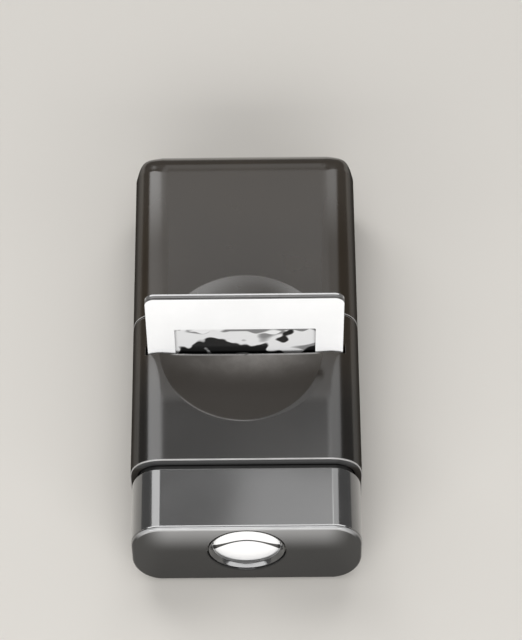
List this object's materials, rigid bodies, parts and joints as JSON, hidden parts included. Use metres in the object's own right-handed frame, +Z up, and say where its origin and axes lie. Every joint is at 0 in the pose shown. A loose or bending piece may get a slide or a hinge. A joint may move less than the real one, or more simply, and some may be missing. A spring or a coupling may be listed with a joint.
{
  "type": "slide viewer",
  "caption": "Flat hand-held viewer for mounted photographic slides: a sliding lens block at one end, a slot across the body with a slide standing in it, and a pull-off battery cover.",
  "frame": {"origin": "centre of the bounding box's underside, on the surface the viewer lies on", "axes": "+X to the viewer's right seen from behind the eyepiece, the eyepiece faces -Y, +Z up"},
  "size_m": [0.0584, 0.1172, 0.0503],
  "materials": {
    "housing_plastic": "satin black moulding",
    "inner_plastic": "matt black moulding",
    "mask_black": "blackened thin sheet",
    "screw_steel": "plated steel",
    "eyepiece_plastic": "satin dark grey moulding",
    "bezel_plastic": "half-gloss black moulding",
    "lens_acrylic": "polished clear acrylic",
    "retainer_plastic": "matt black moulding",
    "spring_steel": "thin spring steel",
    "contact_tin": "tinned strip",
    "cell_sleeve": "plain shrink sleeve on a steel can",
    "diffuser_opal": "milky translucent sheet",
    "reflector_white": "white moulding",
    "lamp_glass": "clear glass",
    "cap_brass": "rolled brass",
    "holder_plastic": "heat-resistant moulding",
    "plunger_plastic": "natural moulding",
    "mount_white": "half-gloss white moulding",
    "mount_grey": "half-gloss dark grey moulding",
    "film_base": "film with a black and white picture"
  },
  "bodies": {
    "viewer_body": {"front_housing": "housing_plastic", "gate_frame": "inner_plastic", "aperture_mask": "mask_black", "battery_tray": "inner_plastic", "case_screw_left": "screw_steel", "case_screw_right": "screw_steel", "slide_presser_left": "spring_steel", "slide_presser_right": "spring_steel", "diffuser": "diffuser_opal", "reflector": "reflector_white", "bulb_glass": "lamp_glass", "bulb_cap": "cap_brass", "lamp_holder": "holder_plastic", "cell_front": "cell_sleeve", "cell_front_button": "contact_tin", "cell_rear": "cell_sleeve", "cell_rear_button": "contact_tin", "cell_link_contact": "contact_tin", "switch_contact": "contact_tin", "lamp_contact": "contact_tin", "switch_leaf": "contact_tin"},
    "eyepiece": {"eyepiece_housing": "eyepiece_plastic", "lens_bezel": "bezel_plastic", "eyepiece_lens": "lens_acrylic", "lens_retaining_ring": "retainer_plastic"},
    "rear_case": {"rear_case": "housing_plastic"},
    "slide": {"slide_mount_front": "mount_white", "slide_mount_back": "mount_grey", "film_chip": "film_base"},
    "switch_button": {"switch_plunger": "plunger_plastic"}
  },
  "joints": [
    {"name": "eyepiece_focus", "type": "slide", "parent": "viewer_body", "child": "eyepiece", "axis": [0, -1, 0], "range_m": [-0.0016, 0.006]},
    {"name": "rear_case_pull", "type": "slide", "parent": "viewer_body", "child": "rear_case", "axis": [0, 1, 0], "range_m": [0, 0.052]},
    {"name": "slide_travel", "type": "slide", "parent": "viewer_body", "child": "slide", "axis": [0, 0, 1], "range_m": [-0.0121, 0.0275]},
    {"name": "switch_press", "type": "slide", "parent": "viewer_body", "child": "switch_button", "axis": [0, 1, 0], "range_m": [0, 0.0005], "stiffness_N_per_m": 150, "springref_m": -0.0015}
  ]
}
